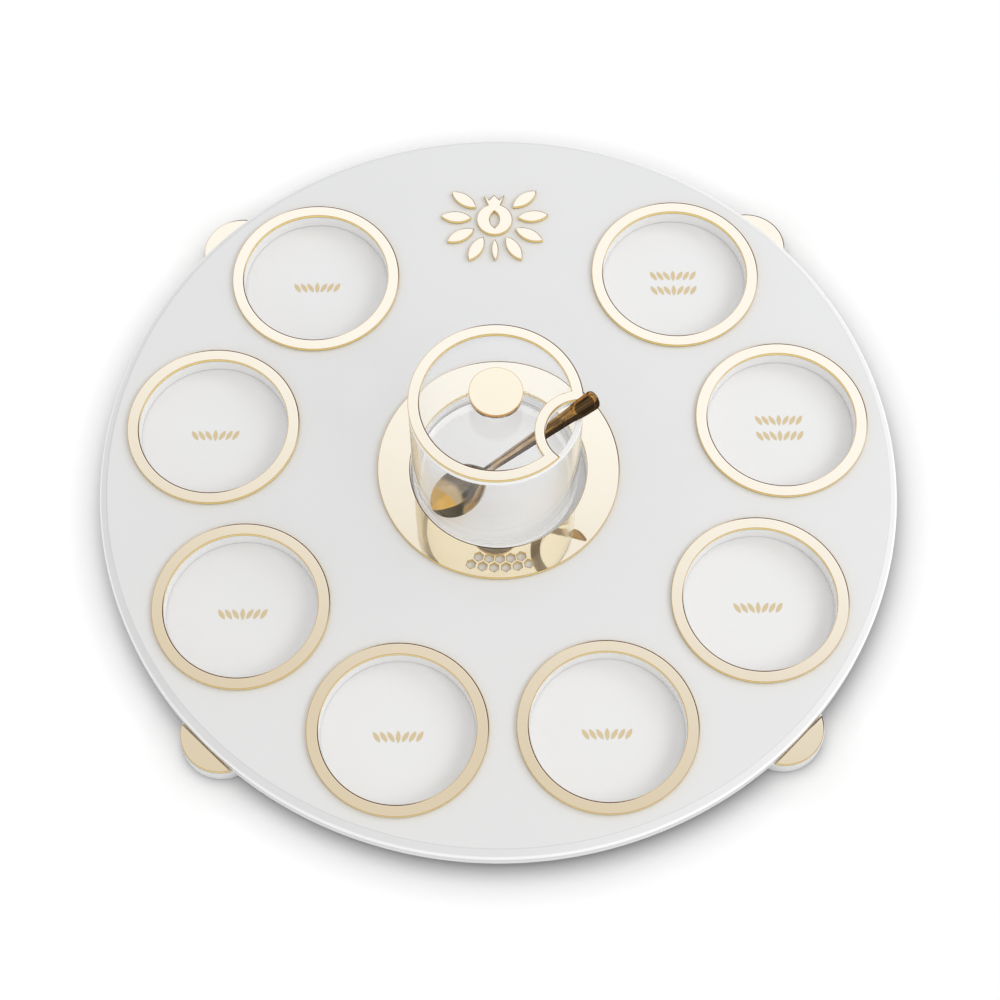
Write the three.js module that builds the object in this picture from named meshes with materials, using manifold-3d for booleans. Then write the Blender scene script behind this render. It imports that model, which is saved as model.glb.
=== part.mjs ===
// Rosh Hashanah plate: a round white plate on four feet, with eight ringed wells and,
// in the middle, a clear honey dish with its lid and spoon.
// Millimetres, +Z up, +Y towards the back. The origin is on the table under the plate's centre.

import * as THREE from 'three';
import { mergeVertices } from 'three/addons/utils/BufferGeometryUtils.js';
import Module from 'manifold-3d';

const wasm = await Module();
wasm.setup();

// The plate is two white discs glued together: a slab with holes on a floor.
const PLATE_RADIUS = 203;
const SLAB_THICKNESS = 8;
const FLOOR_THICKNESS = 3;
const RIM_BEVEL_WIDTH = 4;
const RIM_BEVEL_DEPTH = 4;

// Eight of nine equal places on a circle hold a well, and the ninth, at the back, the ornament.
const WELL_COUNT = 8;
const RIM_MARGIN = 10.8;
const RING_SPACING = 13.2;
const RING_BAND = 5.9;
const RING_SETBACK = 0.2;
const MIRROR_THICKNESS = 2;

// The middle well and its wide ring, with two rows of honeycomb cells cut through its front.
const CENTRE_WELL_RADIUS = 44.8;
const CENTRE_RING_BAND = 16.5;
const CELL_RADIUS = 2.6;
const CELL_WALL = 1.1;
const CELL_ROWS = [5, 6];

// Four round feet lie half outside the rim, and a gold cap covers the outer part of each.
const FOOT_RADIUS = 20.5;
const FOOT_HEIGHT = 8;
const FOOT_INSET = 10;
const FOOT_ANGLES = { front_left: 225, front_right: 315, back_left: 135, back_right: 45 };
const CAP_SETBACK = 0.5;
const CAP_GAP = 0.3;

// The honey dish is a clear cup that stands a little off centre in its well: the shift is a
// share of the clearance round it.
const DISH_CLEARANCE = 2.5;
const DISH_SHIFT = [-0.6, 0.08];
const DISH_HEIGHT = 76;
const DISH_WALL = 3;
const DISH_BOTTOM = 3;

// The lid is a clear disc with a gold band, and both have a round bite where the spoon comes out.
const LID_THICKNESS = 3;
const LID_BAND = 5.5;
const NOTCH_RADIUS = 17;
const NOTCH_BAND = 5;
const NOTCH_CENTRE_OUT = 1.2;
const NOTCH_ANGLE = -22.5;

// The knob is a gold face on a clear disc, held up by a post.
const KNOB_RADIUS = 13;
const KNOB_DISC_THICKNESS = 1.5;
const KNOB_POST_RADIUS = 6;
const KNOB_POST_HEIGHT = 8.5;

// The spoon leans on the dish's rim, inside the lid's bite. The neck's curve and taper shape
// how the bowl draws in.
const SPOON_LENGTH = 118;
const BOWL_LENGTH = 39;
const BOWL_WIDEST = 18;
const BOWL_WIDTH = 22.5;
const BOWL_DEPTH = 5.5;
const NECK_WIDTH = 4;
const NECK_CURVE = 2.4;
const NECK_TAPER = 0.9;
const HANDLE_WIDTH = 8.2;
const SPOON_THICKNESS = 1.5;
const SPOON_END_FLAT = 0.05;
const SPOON_GAP = 0.43;
const SPOON_ROLL = 24;
const SPOON_NOTCH_CLEARANCE = 2;
const SPOON_TIP_INSET = 2;
const SPOON_TIP_ANGLE = 212;

// The ornament is a pomegranate with four leaves on each side and a short stem.
const FRUIT_RADIUS = 9.5;
const CROWN_HEIGHT = 6.5;
const CROWN_NECK = 6.4;
const CROWN_SPREAD = 11;
const SEED_SLOT = [5.5, 11];
const LEAF_LENGTH = 16.5;
const LEAF_WIDTH = 6.6;
const LEAF_GAP = 3;
const LEAVES_PER_SIDE = 4;
const LEAF_FIRST_ANGLE = 38;
const LEAF_PITCH = 33;
const STEM_LENGTH = 13;
const STEM_WIDTH = 3.4;

// How many straight sides stand for each kind of circle.
const PLATE_SIDES = 120;
const DISH_SIDES = 72;
const WELL_SIDES = 48;
const SMALL_SIDES = 40;
const LEAF_SIDES = 8;

// A ring's outer radius fills the room between the rim and its neighbours.
const WELL_PITCH = 360 / (WELL_COUNT + 1);
const PITCH_SINE = Math.sin(rad(WELL_PITCH / 2));
const RING_OUTER = ((PLATE_RADIUS - RIM_MARGIN) * PITCH_SINE - RING_SPACING / 2) / (1 + PITCH_SINE);
const WELL_CIRCLE = PLATE_RADIUS - RIM_MARGIN - RING_OUTER;
const RING_INNER = RING_OUTER - RING_BAND;
const WELL_RADIUS = RING_INNER - RING_SETBACK;
const CENTRE_RING_INNER = CENTRE_WELL_RADIUS + RING_SETBACK;

// Heights of the faces that things stand on, from the table up.
const FLOOR_BASE_Z = FOOT_HEIGHT;
const FLOOR_TOP_Z = FLOOR_BASE_Z + FLOOR_THICKNESS;
const SLAB_TOP_Z = FLOOR_TOP_Z + SLAB_THICKNESS;

// Sizes of the dish and lid that follow from the well.
const DISH_RADIUS = CENTRE_WELL_RADIUS - DISH_CLEARANCE;
const DISH_BORE = DISH_RADIUS - DISH_WALL;
const LID_RADIUS = DISH_RADIUS;

const WHITE = { color: 0xf2f2f0, roughness: 0.25, metalness: 0 };
const GOLD = { color: 0xf0d9a8, roughness: 0.05, metalness: 1 };
const CLEAR = { color: 0xf4f7f8, roughness: 0.05, metalness: 0, transparent: true, opacity: 0.3 };
const BRONZE = { color: 0x7a5a30, roughness: 0.15, metalness: 1 };

function rad(degrees) {
  return degrees * Math.PI / 180;
}

function polar(radius, degrees) {
  return new THREE.Vector2(radius * Math.cos(rad(degrees)), radius * Math.sin(rad(degrees)));
}

// Points of an arc, both ends included.
function arc(radius, from, to, count, x = 0, y = 0) {
  const centre = new THREE.Vector2(x, y);
  return [from, ...steps(from, to, count)].map((angle) => polar(radius, angle).add(centre));
}

// Equal steps from one value to another, without the first.
function steps(from, to, count) {
  return Array.from({ length: count }, (_, i) => from + (to - from) * (i + 1) / count);
}

function circle(radius, sides, x = 0, y = 0) {
  return arc(radius, 0, 360, sides, x, y).slice(0, -1);
}

// A flat piece with a given outline and holes, standing on z.
function sheet(outline, holes, z, thickness) {
  const shape = new THREE.Shape(outline);
  shape.holes = holes.map((points) => new THREE.Path(points));
  const geometry = new THREE.ExtrudeGeometry(shape, { depth: thickness, bevelEnabled: false });
  return geometry.translate(0, 0, z);
}

function disc(radius, sides, z, thickness, x = 0, y = 0) {
  return sheet(circle(radius, sides, x, y), [], z, thickness);
}

// A solid of revolution about Z, from a profile of [radius, height] points that starts and ends on the axis.
function turned(profile, sides) {
  const points = profile.map(([radius, height]) => new THREE.Vector2(radius, height));
  return new THREE.LatheGeometry(points, sides).rotateX(Math.PI / 2);
}

function toSolid(geometry) {
  const bare = geometry.clone();
  bare.deleteAttribute('normal');
  bare.deleteAttribute('uv');
  const merged = mergeVertices(bare, 1e-4);
  const vertProperties = new Float32Array(merged.attributes.position.array);
  const triVerts = new Uint32Array(merged.index.array);
  return new wasm.Manifold(new wasm.Mesh({ numProp: 3, vertProperties, triVerts }));
}

function toGeometry(solid) {
  const mesh = solid.getMesh();
  const geometry = new THREE.BufferGeometry();
  geometry.setAttribute('position', new THREE.BufferAttribute(mesh.vertProperties, 3));
  geometry.setIndex(new THREE.BufferAttribute(mesh.triVerts, 1));
  geometry.computeVertexNormals();
  return geometry;
}

function cut(geometry, ...tools) {
  return toGeometry(tools.reduce((body, tool) => body.subtract(toSolid(tool)), toSolid(geometry)));
}

function piece(name, geometry, look, parent) {
  const mesh = new THREE.Mesh(geometry, new THREE.MeshStandardMaterial(look));
  mesh.name = name;
  parent.add(mesh);
  return mesh;
}

const plate = new THREE.Group();

function wellPlaces() {
  return Array.from({ length: WELL_COUNT }, (_, i) => polar(WELL_CIRCLE, 90 + WELL_PITCH * (i + 1)));
}

// The slab's holes pass right through it, so their cutters stand out past both faces.
function hole(radius, sides, x, y) {
  return disc(radius, sides, FLOOR_TOP_Z - 1, SLAB_THICKNESS + 2, x, y);
}

function addPlate() {
  const slab = turned([
    [0, FLOOR_TOP_Z],
    [PLATE_RADIUS, FLOOR_TOP_Z],
    [PLATE_RADIUS, SLAB_TOP_Z - RIM_BEVEL_DEPTH],
    [PLATE_RADIUS - RIM_BEVEL_WIDTH, SLAB_TOP_Z],
    [0, SLAB_TOP_Z],
  ], PLATE_SIDES);
  const wells = wellPlaces().map(({ x, y }) => hole(WELL_RADIUS, WELL_SIDES, x, y));
  const centreWell = hole(CENTRE_WELL_RADIUS, DISH_SIDES, 0, 0);
  piece('plate_top', cut(slab, ...wells, centreWell), WHITE, plate);
  piece('base_plate', disc(PLATE_RADIUS, PLATE_SIDES, FLOOR_BASE_Z, FLOOR_THICKNESS), WHITE, plate);
}

function addWellRings() {
  const band = sheet(circle(RING_OUTER, WELL_SIDES), [circle(RING_INNER, WELL_SIDES)], 0, MIRROR_THICKNESS);
  wellPlaces().forEach(({ x, y }, i) => {
    piece(`well_ring_${i + 1}`, band, GOLD, plate).position.set(x, y, SLAB_TOP_Z);
  });
}

// The honeycomb's rows follow the ring, half a cell apart, and are centred on its band at the front.
function honeycomb() {
  const pitch = CELL_RADIUS * Math.sqrt(3) + CELL_WALL;
  const middle = CENTRE_RING_INNER + CENTRE_RING_BAND / 2;
  return CELL_ROWS.flatMap((count, row) => {
    const radius = middle + (row - 0.5) * pitch * Math.sqrt(3) / 2;
    const step = pitch / middle * 180 / Math.PI;
    return Array.from({ length: count }, (_, i) => {
      const angle = 270 + (i - (count - 1) / 2) * step;
      const { x, y } = polar(radius, angle);
      return arc(CELL_RADIUS, angle, angle + 300, 5, x, y);
    });
  });
}

function addCentreRing() {
  const holes = [circle(CENTRE_RING_INNER, DISH_SIDES), ...honeycomb()];
  const outline = circle(CENTRE_RING_INNER + CENTRE_RING_BAND, DISH_SIDES);
  piece('centre_ring', sheet(outline, holes, SLAB_TOP_Z, MIRROR_THICKNESS), GOLD, plate);
}

// Each cap is the segment of the foot's circle that lies outside the rim.
function addFeet() {
  const capRadius = FOOT_RADIUS - CAP_SETBACK;
  const footCentre = PLATE_RADIUS - FOOT_INSET;
  const halfArc = Math.acos((FOOT_INSET + CAP_GAP) / capRadius) * 180 / Math.PI;
  const segment = arc(capRadius, -halfArc, halfArc, SMALL_SIDES / 2, footCentre);
  for (const [place, angle] of Object.entries(FOOT_ANGLES)) {
    const corner = new THREE.Group();
    corner.rotation.z = rad(angle);
    plate.add(corner);
    piece(`foot_${place}`, disc(FOOT_RADIUS, SMALL_SIDES, 0, FOOT_HEIGHT, footCentre), WHITE, corner);
    piece(`cap_${place}`, sheet(segment, [], FOOT_HEIGHT, MIRROR_THICKNESS), GOLD, corner);
  }
}

// The dish, lid and spoon are measured from the middle of the dish's underside.
const dish = new THREE.Group();
dish.position.set(DISH_SHIFT[0] * DISH_CLEARANCE, DISH_SHIFT[1] * DISH_CLEARANCE, FLOOR_TOP_Z);
plate.add(dish);

function addDish() {
  const cup = turned([
    [0, 0],
    [DISH_RADIUS, 0],
    [DISH_RADIUS, DISH_HEIGHT],
    [DISH_BORE, DISH_HEIGHT],
    [DISH_BORE, DISH_BOTTOM],
    [0, DISH_BOTTOM],
  ], DISH_SIDES);
  piece('honey_dish', cup, CLEAR, dish);
}

function addLid() {
  const lid = new THREE.Group();
  lid.position.z = DISH_HEIGHT;
  dish.add(lid);

  const bite = polar(LID_RADIUS + NOTCH_CENTRE_OUT, NOTCH_ANGLE);
  const notch = disc(NOTCH_RADIUS, DISH_SIDES, -1, LID_THICKNESS + MIRROR_THICKNESS + 2, bite.x, bite.y);
  piece('lid_disc', cut(disc(LID_RADIUS, DISH_SIDES, 0, LID_THICKNESS), notch), CLEAR, lid);

  const band = sheet(circle(LID_RADIUS, DISH_SIDES), [circle(LID_RADIUS - LID_BAND, DISH_SIDES)],
    LID_THICKNESS, MIRROR_THICKNESS);
  const collar = disc(NOTCH_RADIUS + NOTCH_BAND, DISH_SIDES, LID_THICKNESS, MIRROR_THICKNESS, bite.x, bite.y);
  const face = toSolid(disc(LID_RADIUS, DISH_SIDES, LID_THICKNESS, MIRROR_THICKNESS));
  const ring = toSolid(band).add(toSolid(collar).intersect(face)).subtract(toSolid(notch));
  piece('lid_ring', toGeometry(ring), GOLD, lid);

  const discZ = LID_THICKNESS + KNOB_POST_HEIGHT;
  piece('knob_post', disc(KNOB_POST_RADIUS, SMALL_SIDES, LID_THICKNESS, KNOB_POST_HEIGHT), CLEAR, lid);
  piece('knob_disc', disc(KNOB_RADIUS, SMALL_SIDES, discZ, KNOB_DISC_THICKNESS), CLEAR, lid);
  piece('knob_cap', disc(KNOB_RADIUS, SMALL_SIDES, discZ + KNOB_DISC_THICKNESS, MIRROR_THICKNESS), GOLD, lid);
}

// How far a place along the bowl is from its widest part: 0 there, and 1 at the tip and at the neck.
function bowlShare(x) {
  const share = x < BOWL_WIDEST ? 1 - x / BOWL_WIDEST : (x - BOWL_WIDEST) / (BOWL_LENGTH - BOWL_WIDEST);
  return Math.min(1, share);
}

// Half the spoon's width at a distance from the bowl's tip: the bowl is round at the tip and
// draws in to a neck, and the handle widens steadily from there to a round end.
function spoonHalfWidth(x) {
  const share = bowlShare(x);
  const fullness = x < BOWL_WIDEST ? Math.sqrt(1 - share ** 2) : (1 - share ** NECK_CURVE) ** NECK_TAPER;
  const along = Math.max(0, (x - BOWL_LENGTH) / (SPOON_LENGTH - BOWL_LENGTH));
  const strap = (NECK_WIDTH + (HANDLE_WIDTH - NECK_WIDTH) * along) / 2;
  const bowl = fullness * BOWL_WIDTH / 2;
  const width = Math.hypot(bowl, strap * THREE.MathUtils.smoothstep(x, BOWL_WIDEST, BOWL_LENGTH));
  const fromEnd = THREE.MathUtils.clamp((SPOON_LENGTH - x) / (HANDLE_WIDTH / 2), 0, 1);
  return width * Math.sqrt(1 - (1 - fromEnd) ** 2);
}

// Places along the spoon where its section is drawn, closer together where its outline turns.
function spoonStations() {
  const handleEnd = SPOON_LENGTH - HANDLE_WIDTH / 2;
  const tipHalf = arc(BOWL_WIDEST, 180, 90, 9, BOWL_WIDEST).map((point) => point.x).slice(1);
  const neckHalf = steps(BOWL_WIDEST, BOWL_LENGTH, 9);
  const handle = steps(BOWL_LENGTH, handleEnd, 10);
  const end = arc(HANDLE_WIDTH / 2, 90, 0, 5, handleEnd).map((point) => point.x).slice(1, -1);
  return [SPOON_END_FLAT, ...tipHalf, ...neckHalf, ...handle, ...end, SPOON_LENGTH - SPOON_END_FLAT];
}

// The spoon's face lies along X, with Y across it and the bowl sunk below it.
function spoonGeometry() {
  const across = 8;
  const row = [-1, ...steps(-1, 1, across)];
  const stations = spoonStations();
  const positions = [];
  for (const x of stations) {
    const half = spoonHalfWidth(x);
    const sink = BOWL_DEPTH * (1 - bowlShare(x) ** 2);
    const upper = row.map((s) => [x, s * half, -sink * (1 - s * s)]);
    const lower = upper.map(([px, py, pz]) => [px, py, pz - SPOON_THICKNESS]).reverse();
    positions.push(...[...upper, ...lower].flat());
  }

  const ring = 2 * (across + 1);
  const index = [];
  for (let i = 0; i < stations.length - 1; i++) {
    for (let j = 0; j < ring; j++) {
      const a = i * ring + j;
      const b = i * ring + (j + 1) % ring;
      index.push(a, a + ring, b, b, a + ring, b + ring);
    }
  }
  const last = (stations.length - 1) * ring;
  for (let j = 0; j < across; j++) {
    const k = ring - 1 - j;
    index.push(j, j + 1, k, j + 1, k - 1, k);
    index.push(last + j, last + k, last + j + 1, last + j + 1, last + k, last + k - 1);
  }
  const geometry = new THREE.BufferGeometry();
  geometry.setAttribute('position', new THREE.Float32BufferAttribute(positions, 3));
  geometry.setIndex(index);
  geometry.computeVertexNormals();
  return geometry;
}

// The spoon's own axes when it points along a direction, turned about it by the roll.
function spoonAxes(along) {
  const level = new THREE.Vector3(0, 0, 1).cross(along).normalize();
  const across = level.applyAxisAngle(along, rad(SPOON_ROLL));
  return { along, across, faceUp: along.clone().cross(across) };
}

// The bowl's tip stands on the dish's bottom, and the handle's lower edge leans on the rim's
// inner edge beside the bite. The lean settles after a few rounds.
function addSpoon() {
  const side = NOTCH_RADIUS - HANDLE_WIDTH - SPOON_NOTCH_CLEARANCE;
  const leanAngle = NOTCH_ANGLE + side / DISH_BORE * 180 / Math.PI;
  const rimEdge = new THREE.Vector3(...polar(DISH_BORE, leanAngle), DISH_HEIGHT);
  const tipPlace = polar(DISH_BORE - SPOON_TIP_INSET, SPOON_TIP_ANGLE);
  const tip = new THREE.Vector3(...tipPlace, DISH_BOTTOM + SPOON_THICKNESS + SPOON_GAP);
  let axes = spoonAxes(rimEdge.clone().sub(tip).normalize());
  for (let round = 0; round < 5; round++) {
    const lean = rimEdge.clone()
      .addScaledVector(axes.faceUp, SPOON_THICKNESS + SPOON_GAP)
      .addScaledVector(axes.across, spoonHalfWidth(rimEdge.distanceTo(tip)));
    axes = spoonAxes(lean.sub(tip).normalize());
  }

  const spoon = piece('spoon', spoonGeometry(), BRONZE, dish);
  spoon.position.copy(tip);
  spoon.setRotationFromMatrix(new THREE.Matrix4().makeBasis(axes.along, axes.across, axes.faceUp));
}

// A pomegranate: a round body with a three-pointed crown, and a pointed slot that shows its seeds' place.
function fruitOutline() {
  const shoulder = Math.asin(CROWN_NECK / 2 / FRUIT_RADIUS) * 180 / Math.PI;
  const crownBase = FRUIT_RADIUS * Math.cos(rad(shoulder));
  const crownTop = crownBase + CROWN_HEIGHT;
  const body = arc(FRUIT_RADIUS, 90 + shoulder, 450 - shoulder, SMALL_SIDES);
  const crown = [
    new THREE.Vector2(CROWN_SPREAD / 2, crownTop),
    new THREE.Vector2(CROWN_SPREAD / 4, crownTop - CROWN_HEIGHT / 2),
    new THREE.Vector2(0, crownTop),
    new THREE.Vector2(-CROWN_SPREAD / 4, crownTop - CROWN_HEIGHT / 2),
    new THREE.Vector2(-CROWN_SPREAD / 2, crownTop),
  ];
  return [...body, ...crown];
}

// A leaf or a pointed slot: two arcs that meet at a point at each end of its length, along X.
function lens(length, width) {
  const bulge = (length * length + width * width) / (4 * width);
  const half = Math.asin(length / 2 / bulge) * 180 / Math.PI;
  const drop = bulge - width / 2;
  const upper = arc(bulge, 90 + half, 90 - half, LEAF_SIDES, 0, -drop);
  const lower = arc(bulge, 270 + half, 270 - half, LEAF_SIDES, 0, drop);
  return [...upper.slice(0, -1), ...lower.slice(0, -1)].reverse();
}

// The same outline with its length along Y, moved along it.
function upright(outline, y) {
  return outline.map((point) => new THREE.Vector2(-point.y, point.x + y));
}

function addOrnament() {
  const ornament = new THREE.Group();
  ornament.position.set(0, WELL_CIRCLE, SLAB_TOP_Z);
  plate.add(ornament);

  const slot = upright(lens(SEED_SLOT[1], SEED_SLOT[0]), 0);
  piece('ornament_fruit', sheet(fruitOutline(), [slot], 0, MIRROR_THICKNESS), GOLD, ornament);

  const stemTop = -(FRUIT_RADIUS + LEAF_GAP);
  const stem = upright(lens(STEM_LENGTH, STEM_WIDTH), stemTop - STEM_LENGTH / 2);
  piece('ornament_stem', sheet(stem, [], 0, MIRROR_THICKNESS), GOLD, ornament);

  const leaf = sheet(lens(LEAF_LENGTH, LEAF_WIDTH), [], 0, MIRROR_THICKNESS);
  const reach = FRUIT_RADIUS + LEAF_GAP + LEAF_LENGTH / 2;
  for (let i = 0; i < 2 * LEAVES_PER_SIDE; i++) {
    const rightAngle = LEAF_FIRST_ANGLE - LEAF_PITCH * (i % LEAVES_PER_SIDE);
    const angle = i < LEAVES_PER_SIDE ? 180 - rightAngle : rightAngle;
    const { x, y } = polar(reach, angle);
    const mesh = piece(`ornament_leaf_${i + 1}`, leaf, GOLD, ornament);
    mesh.position.set(x, y, 0);
    mesh.rotation.z = rad(angle);
  }
}

addPlate();
addWellRings();
addCentreRing();
addFeet();
addDish();
addLid();
addSpoon();
addOrnament();

export default plate;
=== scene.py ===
# %% [markdown]
# # A plate of eight wells, with a honey dish in the middle
# The real plate is cut from acrylic sheet: a thick white slab with holes for wells, glued on a thin
# white disc that becomes their floor, and gold mirror sheet glued on top. A clear dish with a lid and
# a spoon stands loose in the middle. This lesson dresses the measured model of that plate, piece by
# piece. The model comes in as a fixed frame, and every size below is read from it or named once.

# %% Load the measured model
import math

import bpy
import numpy as np
from mathutils import Matrix, Vector, geometry


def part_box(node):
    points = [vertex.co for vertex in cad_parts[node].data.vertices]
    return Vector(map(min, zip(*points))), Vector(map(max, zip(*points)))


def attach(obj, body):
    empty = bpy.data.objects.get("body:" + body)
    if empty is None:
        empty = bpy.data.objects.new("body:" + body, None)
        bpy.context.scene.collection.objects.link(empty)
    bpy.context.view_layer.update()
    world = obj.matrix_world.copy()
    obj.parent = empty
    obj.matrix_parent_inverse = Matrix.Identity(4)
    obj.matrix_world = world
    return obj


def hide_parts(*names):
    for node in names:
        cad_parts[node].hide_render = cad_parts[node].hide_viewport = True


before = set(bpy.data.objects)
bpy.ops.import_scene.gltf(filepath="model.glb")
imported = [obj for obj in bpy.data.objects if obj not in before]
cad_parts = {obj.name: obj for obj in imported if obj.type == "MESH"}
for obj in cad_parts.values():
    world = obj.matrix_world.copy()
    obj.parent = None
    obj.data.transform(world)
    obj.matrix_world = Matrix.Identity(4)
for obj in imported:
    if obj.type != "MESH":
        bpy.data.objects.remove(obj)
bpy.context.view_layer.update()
MM = 0.001


# %% [markdown]
# ## Sizes from the model
# Most pieces are discs or rings, so a box is enough to place them: its middle is the centre, half its
# width is the radius, and its lowest and highest points are the two faces of the sheet. Reading them
# from the model keeps the two in step when a size changes.

# %% Read a round piece's place from its box
class Round:
    """A disc or ring of the model, in millimetres: centre, radius, and its lower and upper face."""

    def __init__(self, node):
        low, high = (np.array(corner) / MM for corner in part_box(node))
        self.centre = (low[:2] + high[:2]) / 2
        self.radius = (high[0] - low[0]) / 2
        self.bottom, self.top = low[2], high[2]


slab, floor_disc = Round("plate_top"), Round("base_plate")
first_ring, middle_ring = Round("well_ring_1"), Round("centre_ring")
dish, lid_plate = Round("honey_dish"), Round("lid_disc")
print("slab radius", round(slab.radius, 2), "dish radius", round(dish.radius, 2), "mm")


# %% [markdown]
# ## Shader maths in plain Python
# A finish is a sum of small masks: how far from the edge, how much noise, which side of the sheet.
# Nodes for that can be wired one by one, but the wiring then hides the idea. A small class wraps a
# socket so that `1 - mask` or `mask * 0.3` adds the Math nodes itself, and one method adds any other
# node from its type, its settings and its sockets.

# %% Wrap sockets so that expressions add nodes
class Wire:
    """A node's output that takes part in Python expressions on values."""

    def __init__(self, home, socket):
        self.home, self.socket = home, socket

    def __add__(self, other):
        return self.home.maths("ADD", self, other)

    def __sub__(self, other):
        return self.home.maths("SUBTRACT", self, other)

    def __rsub__(self, other):
        return self.home.maths("SUBTRACT", other, self)

    def __mul__(self, other):
        return self.home.maths("MULTIPLY", self, other)

    __radd__, __rmul__ = __add__, __mul__


def find_socket(sockets, key):
    """A socket by its number, its identifier or its name."""
    if isinstance(key, int):
        return sockets[key]
    return next(s for s in sockets if key in (s.identifier, s.name))


class Tree:
    """A node tree being written."""

    def __init__(self, tree):
        self.tree = tree

    def plug(self, socket, value):
        if isinstance(value, Wire):
            self.tree.links.new(value.socket, socket)
        else:
            socket.default_value = value

    def node(self, kind, settings=None, sockets=None, output=0):
        """Adds a node, sets it, fills its sockets, and gives one of its outputs."""
        made = self.tree.nodes.new(kind)
        for setting, value in (settings or {}).items():
            setattr(made, setting, value)
        for key, value in (sockets or {}).items():
            self.plug(find_socket(made.inputs, key), value)
        return Wire(self, find_socket(made.outputs, output))

    def maths(self, operation, *values):
        return self.node("ShaderNodeMath", {"operation": operation}, dict(enumerate(values)))


class Finish(Tree):
    """The tree of a material, or of the world."""

    def __init__(self, owner):
        owner.use_nodes = True
        super().__init__(owner.node_tree)
        self.owner = owner
        self.shader = self.tree.nodes.get("Principled BSDF") or self.tree.nodes["Background"]

    def surface(self, sockets):
        for key, value in sockets.items():
            self.plug(self.shader.inputs[key], value)

    def close(self, wire):
        self.tree.links.new(wire.socket, self.tree.nodes["Material Output"].inputs["Surface"])


def material(name):
    return Finish(bpy.data.materials.new(name))


# %% [markdown]
# ## What every finish uses
# Soft steps between two values, coats of colour laid over each other and a noise in real millimetres
# come back in each finish, so each is one short function over `node`. The noise reads Object
# coordinates, which for a piece that sits at the origin are its real place in metres.

# %% Name the steps, coats and noises
def soft_step(value, start, end):
    """0 up to start, 1 from end on, and smooth between."""
    sockets = {"Value": value, "From Min": start, "From Max": end}
    return value.home.node("ShaderNodeMapRange", {"interpolation_type": "SMOOTHSTEP"}, sockets)


def blend(finish, mask, first, second):
    """The first colour where the mask is 0 and the second where it is 1."""
    sockets = {"Factor_Float": mask, "A_Color": first, "B_Color": second}
    return finish.node("ShaderNodeMix", {"data_type": "RGBA"}, sockets, "Result_Color")


def coats(finish, tone, layers):
    """Lays coats of colour over a tone, each where its mask is 1."""
    for mask, colour in layers:
        tone = blend(finish, mask, tone, (*colour, 1))
    return tone


def grey(level):
    return level, level, level


def object_place(finish):
    return finish.node("ShaderNodeTexCoord", output="Object")


def from_middle(finish):
    """The distance in metres from the origin, under the plate's centre."""
    return finish.node("ShaderNodeVectorMath", {"operation": "LENGTH"}, {0: object_place(finish)}, "Value")


def noise(finish, size_mm, detail=2.0, stretch=(1, 1, 1)):
    """Cloudy noise from 0 to 1 whose patches are about size_mm across."""
    stretched = finish.node("ShaderNodeMapping", {}, {"Vector": object_place(finish), "Scale": stretch})
    sockets = {"Vector": stretched, "Scale": 1 / (size_mm * MM), "Detail": detail}
    return finish.node("ShaderNodeTexNoise", {}, sockets, "Fac")


def bump(finish, height, depth_mm):
    sockets = {"Height": height, "Distance": depth_mm * MM, "Strength": 1.0}
    return finish.node("ShaderNodeBump", {}, sockets)


def stored(finish, name):
    """A number that the mesh keeps at each point."""
    return finish.node("ShaderNodeAttribute", {"attribute_name": name}, output="Fac")


def light_path(finish, name):
    return finish.node("ShaderNodeLightPath", output=name)


print("helpers take sizes in mm and work in metres:", MM)


# %% [markdown]
# ## White acrylic
# Cast acrylic is white all through, with a satin gloss. Up close the sheet isn't one value: it has a
# faint cloudiness, and handling leaves hairlines that only show in the gloss. Both are noise here, a
# wide one for the clouds and a long thin one for the hairlines, and both stay weak. The slab's rim is
# bevelled: its outer crest gets a painted highlight, and painted shade lies where the bevel begins.
# Painted light makes its well walls paler, as light from the floor below would, down to the thin line
# of the glued joint.

# %% Mix the white acrylic
JOINT_LINE = 0.35


def slab_tone(finish, tone, rim):
    """The slab's painted light and shade: paler well walls over a real thin joint line, a painted highlight on
    the bevel's crest and painted shade in its crease.
    """
    in_wells = 1 - soft_step(from_middle(finish), 0.194, 0.197)
    down, inward = stored(finish, "down_mm"), stored(finish, "inward_mm")
    depth = slab.top - slab.bottom
    # Painted highlight on the bevel's outer crest, and painted shade in the crease where the bevel begins.
    painted_crest_highlight = soft_step(inward, 0.0, 0.1) * (1 - soft_step(inward, 0.7, 1.3))
    painted_crease_shade = soft_step(inward, rim - 0.3, rim) * (1 - soft_step(inward, rim + 0.2, rim + 0.6))
    return coats(finish, tone, [
        # Painted light: paler well walls. The joint line under them is a real dark joint.
        (soft_step(down, 0.3, 0.6) * in_wells, grey(0.92)),
        (soft_step(down, depth - JOINT_LINE - 0.1, depth - JOINT_LINE + 0.1) * in_wells, grey(0.5)),
        (painted_crest_highlight, grey(0.98)),
        (painted_crease_shade * 0.6, grey(0.66)),
    ])


def white_acrylic(name, white, roughness, rim=None):
    finish = material(name)
    clouds = noise(finish, 60, 3.0)
    hairlines = soft_step(noise(finish, 1.2, 3.0, (1, 0.06, 1)), 0.62, 0.75)
    tone = blend(finish, clouds, (*grey(white), 1), (*grey(white * 0.975), 1))
    finish.surface({
        "Base Color": slab_tone(finish, tone, rim) if rim else tone,
        "Roughness": roughness + clouds * 0.04 + hairlines * 0.05,
        "Normal": bump(finish, noise(finish, 0.8, 2.0), 0.004),
        "IOR": 1.49,
    })
    return finish.owner


BEVEL = (4.0, 4.0)
slab_white = white_acrylic("white acrylic slab", 0.82, 0.16, rim=BEVEL[0])
floor_white = white_acrylic("white acrylic floor disc", 0.88, 0.2)
foot_white = white_acrylic("white acrylic foot", 0.82, 0.18)
print("white acrylics:", slab_white.name, floor_white.name, foot_white.name)
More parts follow.
